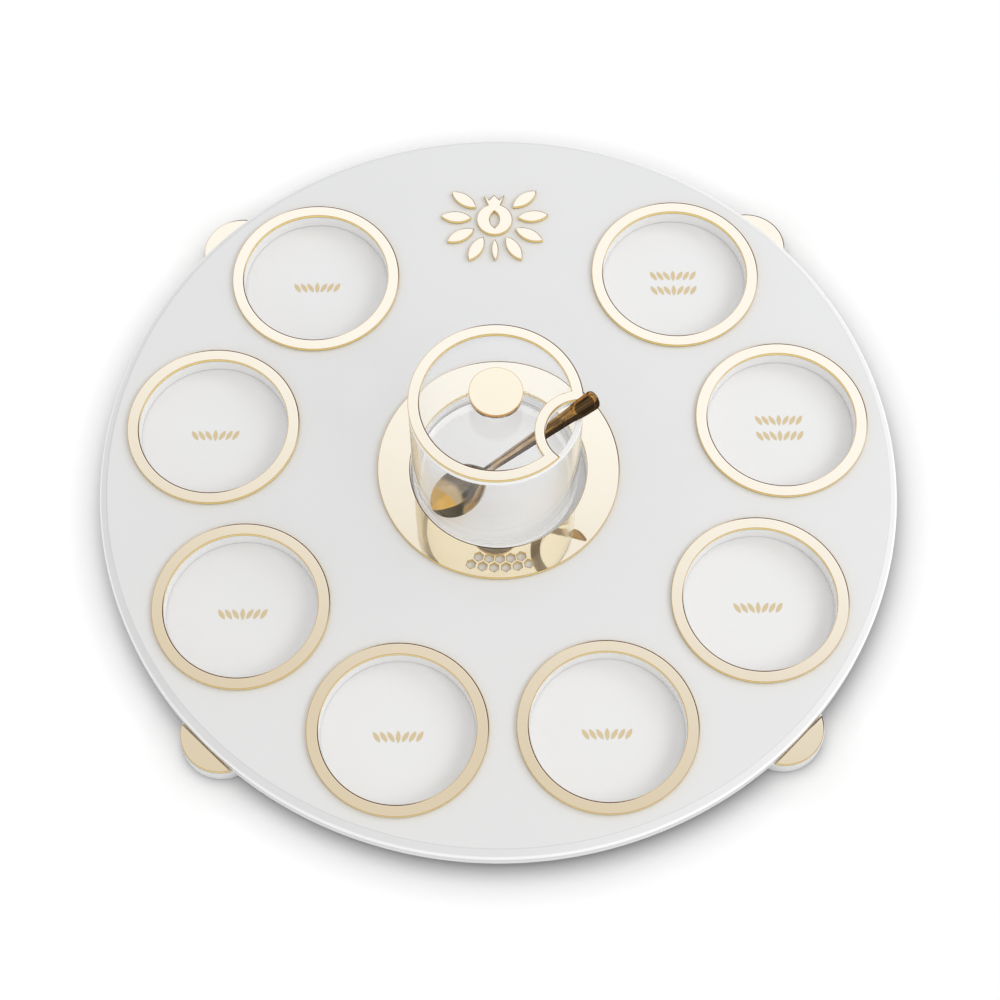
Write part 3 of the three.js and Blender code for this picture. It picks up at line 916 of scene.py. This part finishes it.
# %% Turn the dish
def lathe(name, profile, count, centre, row_looks):
    """Spins a profile of (radius, height) that starts and ends on the axis."""
    points, faces, rows = [], [], []
    for radius, height in profile:
        first = len(points)
        if radius == 0:
            points.append((centre[0], centre[1], height))
            rows.append([first] * count)
        else:
            points += [(x, y, height) for x, y in circle(radius, count, centre)]
            rows.append(list(range(first, first + count)))
    for low, high in zip(rows, rows[1:]):
        for i in range(count):
            j = (i + 1) % count
            faces.append(tuple(dict.fromkeys([low[i], low[j], high[j], high[i]])))
    mesh = bpy.data.meshes.new(name)
    mesh.from_pydata((np.array(points) * MM).tolist(), [], faces)
    looks = [row_looks.get(row, 0) for row in range(len(rows) - 1) for _ in range(count)]
    mesh.polygons.foreach_set("material_index", looks)
    return mesh


DISH_WALL, DISH_BOTTOM = 3.0, 3.0
SEAT_LIFT = 0.05
FOOT_ROUND, RIM_ROUND, INNER_ROUND = 0.3, 0.45, 1.0
FOOT_TOP, TURNED_LINES = 13.6, ((18.6, 19.4), (21.4, 21.9))
bore = dish.radius - DISH_WALL


def corner(radius, height, size, start, steps=4):
    """A quarter circle of the profile that turns left, from a direction in degrees."""
    return [(radius + size * math.cos(math.radians(start + 90 * i / steps)),
             height + size * math.sin(math.radians(start + 90 * i / steps))) for i in range(steps + 1)]


low, floor_top = dish.bottom + SEAT_LIFT, dish.bottom + DISH_BOTTOM
milled = [(dish.radius, height) for height in (FOOT_TOP, *TURNED_LINES[0], *TURNED_LINES[1])]
cup = [(0, low), (bore - INNER_ROUND, low)]
cup += corner(dish.radius - FOOT_ROUND, low + FOOT_ROUND, FOOT_ROUND, -90)
cup += milled
rim_start = len(cup)
cup += corner(dish.radius - RIM_ROUND, dish.top - RIM_ROUND, RIM_ROUND, 0)
cup += corner(bore + RIM_ROUND, dish.top - RIM_ROUND, RIM_ROUND, 90)
rim_end = len(cup) - 1
cup += [(bore, floor_top + INNER_ROUND), (bore - INNER_ROUND * 0.3, floor_top + INNER_ROUND * 0.3),
        (bore - INNER_ROUND, floor_top), (0, floor_top)]
foot_rows = range(1, cup.index(milled[0]))
turned_rows = [cup.index(milled[1]), cup.index(milled[3])]
row_looks = dict.fromkeys([*foot_rows, *turned_rows], 1) | dict.fromkeys([0, *range(rim_start, rim_end)], 2)
dish_mesh = lathe("honey_dish", cup, 256, dish.centre, row_looks)
dish_looks = [dish_clear, frosted_edge, frosted_plain]
place("honey_cup", dish_mesh, "honey_dish", ["honey_dish"], "clear_acrylic", dish_looks)
print("dish wall", DISH_WALL, "mm, room for", round(math.pi * bore ** 2 * (dish.top - floor_top) / 1e3), "ml")


# %% [markdown]
# ## The lid
# The lid is a clear disc with a round bite for the spoon. A clear post and a clear disc carry the
# knob's gold face. On the real lid these are glued, and a glued joint in clear plastic disappears.
# Three touching glass solids would show false surfaces where they meet, so the disc, the post and
# the knob's disc are one skin.

# %% Build the clear lid with its knob
NOTCH_RADIUS, NOTCH_BAND, NOTCH_CENTRE_OUT, NOTCH_ANGLE = 17.0, 5.0, 1.2, -22.5
LID_BAND = 5.5
post, knob_disc, knob_cap = Round("knob_post"), Round("knob_disc"), Round("knob_cap")
lid_ring = Round("lid_ring")
lid_centre, lid_radius = dish.centre, dish.radius
bite_place = lid_centre + polar(lid_radius + NOTCH_CENTRE_OUT, NOTCH_ANGLE)


def bitten(radius, bite_radius):
    """A disc less a round bite at the notch's place, as one outline."""
    far = lid_radius + NOTCH_CENTRE_OUT
    across = math.degrees(math.acos((far ** 2 + radius ** 2 - bite_radius ** 2) / (2 * far * radius)))
    back = math.degrees(math.acos((far ** 2 + bite_radius ** 2 - radius ** 2) / (2 * far * bite_radius)))
    outer = arc(radius, NOTCH_ANGLE + across, NOTCH_ANGLE + 360 - across, 200, lid_centre)
    inner = arc(bite_radius, NOTCH_ANGLE + 180 + back, NOTCH_ANGLE + 180 - back, 60, bite_place)
    return np.concatenate([outer[:-1], inner[:-1]])


skin = Skin()
lid_profile = rounded(lid_plate.bottom + SEAT_LIFT, lid_plate.top - SEAT_LIFT, 0.12)
outer_low, outer_high = skin.wall(bitten(lid_radius, NOTCH_RADIUS), lid_profile, look=1)
post_circle = circle(post.radius, 96, lid_centre)
root = post.bottom - SEAT_LIFT
under, disc_out = knob_disc.bottom, post.radius - knob_disc.radius
knob_profile = [(-0.5, root), (-0.15, root + 0.15), (0, root + 0.5), (0, post.top - 0.05), (0, under),
                (disc_out + 0.25, under), (disc_out, under + 0.25), (disc_out, knob_disc.top - 0.2),
                (disc_out + 0.2, knob_disc.top - SEAT_LIFT)]
post_low, knob_high = skin.wall(post_circle, knob_profile)
skin.fill([outer_low], up=False)
skin.fill([outer_high, post_low], up=True)
skin.fill([knob_high], up=True)
lid_nodes = ["lid_disc", "knob_post", "knob_disc"]
place("clear_lid", skin.mesh("clear_lid"), "lid", lid_nodes, "clear_acrylic", [lid_clear, frosted_edge])


# %% [markdown]
# ## The lid's gold band and the knob's face
# A gold band follows the lid's edge and turns in along the bite. It is the lid's own outline with a
# smaller bitten disc as its hole. The knob's face is a plain gold disc.

# %% Cut the band and the knob's face
band_edge = gold_edge(lid_ring.bottom, lid_ring.top)
band_mesh = cut("lid_band", [
    (bitten(lid_radius, NOTCH_RADIUS), band_edge),
    (hole(bitten(lid_radius - LID_BAND, NOTCH_RADIUS + NOTCH_BAND)), band_edge),
])
place("lid_band", band_mesh, "lid", ["lid_ring"], "gold_mirror", [gold_mirror])
face_edge = gold_edge(knob_cap.bottom, knob_cap.top)
face_mesh = cut("knob_face", [(circle(knob_cap.radius, 128, lid_centre), face_edge)])
place("knob_face", face_mesh, "lid", ["knob_cap"], "gold_mirror", [gold_mirror])


# %% [markdown]
# ## The spoon
# The spoon is pressed from 1.5 mm metal. Its bowl is an oval hollow that draws in to a narrow neck,
# and the handle widens slowly to a round end, a little more over its last part, with a recessed panel
# and two crossing ridges. It is lofted: a section is drawn at many places along it, and the sections
# are joined. A sculpted shape could look as good, but here the width, the hollow and the relief are
# each one short rule.

# %% State the spoon's rules
SPOON_LENGTH, SPOON_THICKNESS = 118.0, 1.5
BOWL_LENGTH, BOWL_WIDEST, BOWL_WIDTH, BOWL_DEPTH = 39.0, 18.0, 22.5, 5.5
NECK_WIDTH, NECK_CURVE, NECK_TAPER, HANDLE_WIDTH, END_SQUARENESS = 4.0, 2.4, 0.9, 8.2, 2.6
SPOON_ROLL, SPOON_GAP, SPOON_NOTCH_CLEARANCE = 24, 0.43, 2.0
SPOON_TIP_INSET, SPOON_TIP_ANGLE = 2.0, 212
END_FLARE, FLARE_SPAN = 0.7, (98, 108)


def smooth(x, start, end):
    t = min(1, max(0, (x - start) / (end - start)))
    return t * t * (3 - 2 * t)


def bowl_share(x):
    share = 1 - x / BOWL_WIDEST if x < BOWL_WIDEST else (x - BOWL_WIDEST) / (BOWL_LENGTH - BOWL_WIDEST)
    return min(1, share)


def half_width(x):
    share = bowl_share(x)
    fullness = math.sqrt(1 - share ** 2) if x < BOWL_WIDEST else (1 - share ** NECK_CURVE) ** NECK_TAPER
    along = max(0, (x - BOWL_LENGTH) / (SPOON_LENGTH - BOWL_LENGTH))
    strap = (NECK_WIDTH + (HANDLE_WIDTH - NECK_WIDTH) * along) / 2 + END_FLARE * smooth(x, *FLARE_SPAN)
    width = math.hypot(fullness * BOWL_WIDTH / 2, strap * smooth(x, BOWL_WIDEST, BOWL_LENGTH))
    from_end = min(1, max(0, (SPOON_LENGTH - x) / (HANDLE_WIDTH / 2)))
    return width * (1 - (1 - from_end) ** END_SQUARENESS) ** (1 / END_SQUARENESS)


def spoon_frame():
    """Where the spoon lies: its tip stands on the dish's bottom and its handle leans in the bite."""
    def axes(along):
        level = Vector((0, 0, 1)).cross(along).normalized()
        across = Matrix.Rotation(math.radians(SPOON_ROLL), 3, along) @ level
        return along, across, along.cross(across)

    side = NOTCH_RADIUS - HANDLE_WIDTH - SPOON_NOTCH_CLEARANCE
    lean_angle = NOTCH_ANGLE + math.degrees(side / bore)
    rim_edge = Vector((*polar(bore, lean_angle), dish.top - dish.bottom))
    tip = Vector((*polar(bore - SPOON_TIP_INSET, SPOON_TIP_ANGLE), DISH_BOTTOM + SPOON_THICKNESS + SPOON_GAP))
    along, across, face = axes((rim_edge - tip).normalized())
    for _ in range(5):
        lean = rim_edge + face * (SPOON_THICKNESS + SPOON_GAP) + across * half_width((rim_edge - tip).length)
        along, across, face = axes((lean - tip).normalized())
    return tip + Vector((*dish.centre, dish.bottom)), along, across, face


spoon_tip, along, across, face_up = spoon_frame()
print("spoon tip at", [round(v, 2) for v in spoon_tip], "pointing", [round(v, 3) for v in along])

# %% [markdown]
# The relief lies in the last part of the handle: two ridges cross like a long X, and beyond them a
# panel is pressed in by a fifth of a millimetre, with a raised border. The rim of the whole spoon is
# rounded over a few rows of points.

# %% Loft the spoon
RIDGE_SPAN, PANEL_SPAN = (93.0, 103.0), (103.5, 116.2)
RELIEF, EDGE_ROUND = 0.24, 0.45
ROWS_ACROSS = 28


def relief(x, s):
    """How far the face stands out at a place, in mm, and how much it counts as rubbed."""
    ridge_place = (x - RIDGE_SPAN[0]) / (RIDGE_SPAN[1] - RIDGE_SPAN[0]) * 2 - 1
    ridge = 0
    if abs(ridge_place) < 1.15:
        near = min(abs(s - ridge_place), abs(s + ridge_place))
        ridge = math.exp(-(near / 0.16) ** 2) * smooth(1.15 - abs(ridge_place), 0, 0.2)
    middle = sum(PANEL_SPAN) / 2
    reach = math.hypot(max(0, abs(x - middle) - (PANEL_SPAN[1] - middle - 3)) / 3, s / 0.72)
    inside = smooth(1 - reach, -0.06, 0.1)
    border = math.exp(-((reach - 1.1) / 0.17) ** 2) * smooth(x, PANEL_SPAN[0] - 3, PANEL_SPAN[0])
    return RELIEF * (0.8 * ridge + 0.7 * border - 0.9 * inside), max(0.2 * ridge, border) - inside


def spoon_stations():
    tip = [BOWL_WIDEST * (1 - math.cos(math.radians(a))) for a in np.linspace(4, 90, 26)]
    neck = list(np.linspace(BOWL_WIDEST, BOWL_LENGTH, 26))[1:]
    reach = HANDLE_WIDTH / 2
    handle = list(np.linspace(BOWL_LENGTH, SPOON_LENGTH - reach, 170))[1:]
    end = [SPOON_LENGTH - reach * (1 - math.sin(math.radians(a))) for a in np.linspace(0, 86, 16)][1:]
    return tip + neck + handle + end


def pillow(s):
    """How far the handle's rounded section falls away at a place across it."""
    return 0.2 * s * s + 0.75 * max(0, (abs(s) - 0.4) / 0.6) ** 2


def spoon_mesh():
    points, sections = [], []
    numbers = {"raised": [], "along_mm": [], "across": []}
    spread = [math.sin(math.radians(a)) for a in np.linspace(-90, 90, ROWS_ACROSS + 1)]
    for x in spoon_stations():
        half = half_width(x)
        sink = BOWL_DEPTH * (1 - bowl_share(x) ** 2)
        round_off = min(EDGE_ROUND, half * 0.3)
        handle = smooth(x, BOWL_LENGTH - 8, BOWL_LENGTH + 8)
        upper, lower = [], []
        for s in spread:
            edge = max(0, (abs(s) * half - (half - round_off)) / round_off)
            drop = round_off * (1 - math.sqrt(max(0, 1 - edge ** 2)))
            lift, rub = relief(x, s)
            z = -sink * (1 - s * s)
            upper.append((x, s * half, z - drop * (1 - handle) - pillow(s) * handle + lift))
            lower.append((x, s * half, z - SPOON_THICKNESS + drop))
            numbers["raised"].append(rub)
        first = len(points)
        points += upper + lower[::-1]
        numbers["raised"] += [0.0] * len(lower)
        numbers["along_mm"] += [x] * (len(upper) + len(lower))
        numbers["across"] += spread + [0.0] * len(lower)
        sections.append(list(range(first, first + 2 * len(spread))))
    faces = []
    for low, high in zip(sections, sections[1:]):
        for i in range(len(low)):
            j = (i + 1) % len(low)
            faces.append((low[i], high[i], high[j], low[j]))
    faces.append(tuple(sections[0]))
    faces.append(tuple(sections[-1][::-1]))
    turn = np.array([along, across, face_up])
    mesh = bpy.data.meshes.new("spoon")
    placed = np.array(points) @ turn + np.array(spoon_tip)
    mesh.from_pydata((placed * MM).tolist(), [], faces)
    remember(mesh, numbers)
    return mesh


place("honey_spoon", spoon_mesh(), "spoon", ["spoon"], "dark_bronze", [dark_bronze], 50)


# %% [markdown]
# ## Camera
# The picture was taken from in front and well above, with a long lens. The numbers come from fitting
# the circles of the plate to their ellipses in the picture, which fixes the place and the lens.

# %% Set the camera
LENS_MM = 77.37
camera_place = Vector((-9.7, -479.9, 1002.4)) * MM
yaw, pitch, roll = (math.radians(a) for a in (1.257, 64.825, -0.448))
forward = Vector((math.sin(yaw) * math.cos(pitch), math.cos(yaw) * math.cos(pitch), -math.sin(pitch)))
level_right = Vector((math.cos(yaw), -math.sin(yaw), 0))
level_down = forward.cross(level_right)
right = level_right * math.cos(roll) + level_down * math.sin(roll)
up = -(level_down * math.cos(roll) - level_right * math.sin(roll))
camera_data = bpy.data.cameras.new("camera")
camera_data.lens, camera_data.sensor_width = LENS_MM, 36
camera_data.clip_start, camera_data.clip_end = 0.05, 20
camera = bpy.data.objects.new("camera", camera_data)
bpy.context.scene.collection.objects.link(camera)
camera.matrix_world = Matrix.Translation(camera_place) @ Matrix((right, up, -forward)).transposed().to_4x4()
bpy.context.scene.camera = camera
print("camera", round(camera_place.length, 3), "m from the plate's centre")


# %% [markdown]
# ## Floor
# The plate stands on a white sweep of paper, which is lit to plain white and keeps the plate's soft
# shadow close to its edge. White plastic throws so much light on the paper that this shadow comes out
# too faint, so the paper also gets painted shade where something stands within 22 mm of it. Further
# off the paper fades into plain white for the camera and in reflections, so no view shows its far edge.

# %% Lay the floor
CONTACT_REACH, FADE_SPAN, FLOOR_REACH = 0.022, (0.3, 0.5), 4
paper = material("white paper sweep")
fibres = blend(paper, noise(paper, 2, 4.0), (*grey(0.86), 1), (*grey(0.88), 1))
# Painted contact shade: the paper's colour darkens where ambient occlusion finds something within reach.
open_sky = paper.node("ShaderNodeAmbientOcclusion", {}, {"Distance": CONTACT_REACH}, "AO")
paper.surface({
    "Base Color": blend(paper, open_sky, (*grey(0.25), 1), fibres),
    "Roughness": 0.9,
    "Specular IOR Level": 0.2,
})
seen = [light_path(paper, f"Is {kind} Ray") for kind in ("Camera", "Glossy", "Transmission")]
far_off = soft_step(from_middle(paper), *FADE_SPAN) * (seen[0] + seen[1] + seen[2])
plain_white = paper.node("ShaderNodeEmission", {}, {"Color": (*grey(1), 1), "Strength": 1.0})
lit_paper = Wire(paper, paper.shader.outputs[0])
paper.close(paper.node("ShaderNodeMixShader", {}, {0: far_off, 1: lit_paper, 2: plain_white}))
floor_mesh = bpy.data.meshes.new("floor")
sides = ((-1, -1), (1, -1), (1, 1), (-1, 1))
floor_mesh.from_pydata([(x * FLOOR_REACH, y * FLOOR_REACH, 0) for x, y in sides], [], [(0, 1, 2, 3)])
floor_mesh.materials.append(paper.owner)
floor = bpy.data.objects.new("floor", floor_mesh)
bpy.context.scene.collection.objects.link(floor)
print("paper fades to plain white from", FADE_SPAN[0], "to", FADE_SPAN[1], "m")


# %% [markdown]
# ## The room
# The walls all round are pale and light everything softly. Mirror sheet shows the room, so the room
# that mirrors see has more in it: overhead a bright half behind the plate and a dimmer half in front,
# which turn the gold from cream at the back to tan at the front, and an even pale band at middle
# height for lower views. Low down at the left it is dark, apart from two tall strip lights. The spoon
# reflects that part, and its long light streaks and dark bands come from there. What glass shows of
# a mirror is a little warmer. The camera, also through glass, sees plain white.

# %% Paint the room
def strip_light(value, middle, half):
    """1 in a soft band round the middle value."""
    core = half * 0.4
    return soft_step(value, middle - half, middle - core) * (1 - soft_step(value, middle + core, middle + half))


world = bpy.data.worlds.new("studio")
bpy.context.scene.world = world
room = Finish(world)
ray = room.node("ShaderNodeTexCoord", output="Generated")
ray_x, ray_y, ray_z = (room.node("ShaderNodeSeparateXYZ", {}, {0: ray}, axis) for axis in "XYZ")
overhead = blend(room, soft_step(ray_y + ray_x * 0.3, 0.30, 0.50), (0.79, 0.75, 0.70, 1), (1.08, 1.14, 1.30, 1))
mirror_room = blend(room, soft_step(ray_z, 0.6, 0.8), (0.84, 0.82, 0.79, 1), overhead)
low_dark = blend(room, soft_step(ray_y, -0.60, -0.52), (0.98, 0.95, 0.90, 1), (0.12, 0.11, 0.10, 1))
low_side = coats(room, low_dark, [
    (strip_light(ray_y, -0.42, 0.15), (0.95, 0.92, 0.88)),
    (strip_light(ray_y, 0.12, 0.06), (0.7, 0.68, 0.65)),
    (soft_step(ray_x, -0.45, -0.25), (0.86, 0.84, 0.80)),
])
mirror_room = blend(room, soft_step(ray_z, 0.18, 0.28), low_side, mirror_room)
mirrored = room.maths("MINIMUM", light_path(room, "Glossy Depth"), 1.0)
past_glass = light_path(room, "Is Transmission Ray")
plain = light_path(room, "Is Camera Ray") + past_glass * (1 - mirrored)
warmth = {"Factor_Float": past_glass * mirrored, "A_Color": mirror_room, "B_Color": (1.0, 0.97, 0.84, 1)}
warmed = room.node("ShaderNodeMix", {"data_type": "RGBA", "blend_type": "MULTIPLY"}, warmth, "Result_Color")
seen_room = blend(room, plain, warmed, (*grey(1), 1))
looking = plain + light_path(room, "Is Glossy Ray") + past_glass * mirrored
SOFT_LEVEL = (*grey(0.79), 1)
room.surface({"Color": blend(room, looking, SOFT_LEVEL, seen_room)})
print("room nodes:", len(room.tree.nodes))


# %% [markdown]
# ## The lamps
# Two broad lamps stand on the right, one a little behind the plate and one a little in front, so the
# slab is brightest at its front right and each well is shaded on its right side. The paper has a
# lamp of its own overhead, which only lights the paper: its level makes the paper white, and the
# plate's shadow falls a little to the right.

# %% Set the lamps
def lamp(name, place, target, size, watts, lit):
    data = bpy.data.lights.new(name, "AREA")
    data.shape, data.size, data.energy = "DISK", size, watts
    made = bpy.data.objects.new(name, data)
    bpy.context.scene.collection.objects.link(made)
    made.location = place
    made.rotation_euler = (Vector(target) - Vector(place)).to_track_quat("-Z", "Y").to_euler()
    made.visible_glossy = False
    made.light_linking.receiver_collection = bpy.data.collections.new(f"lit by {name}")
    for thing in lit:
        made.light_linking.receiver_collection.objects.link(thing)
    print(name, watts, "W at", place)


lamp("back right lamp", (1.6, 0.6, 1.2), (0, 0, 0), 1.0, 6.8, pieces)
lamp("front right lamp", (1.25, -0.9, 1.5), (0, 0, 0), 1.0, 6.8, pieces)
lamp("paper lamp", (-0.2, 0.1, 1.9), (0, 0, 0), 2.0, 18.5, [floor])
bpy.context.scene.view_settings.view_transform = "Standard"
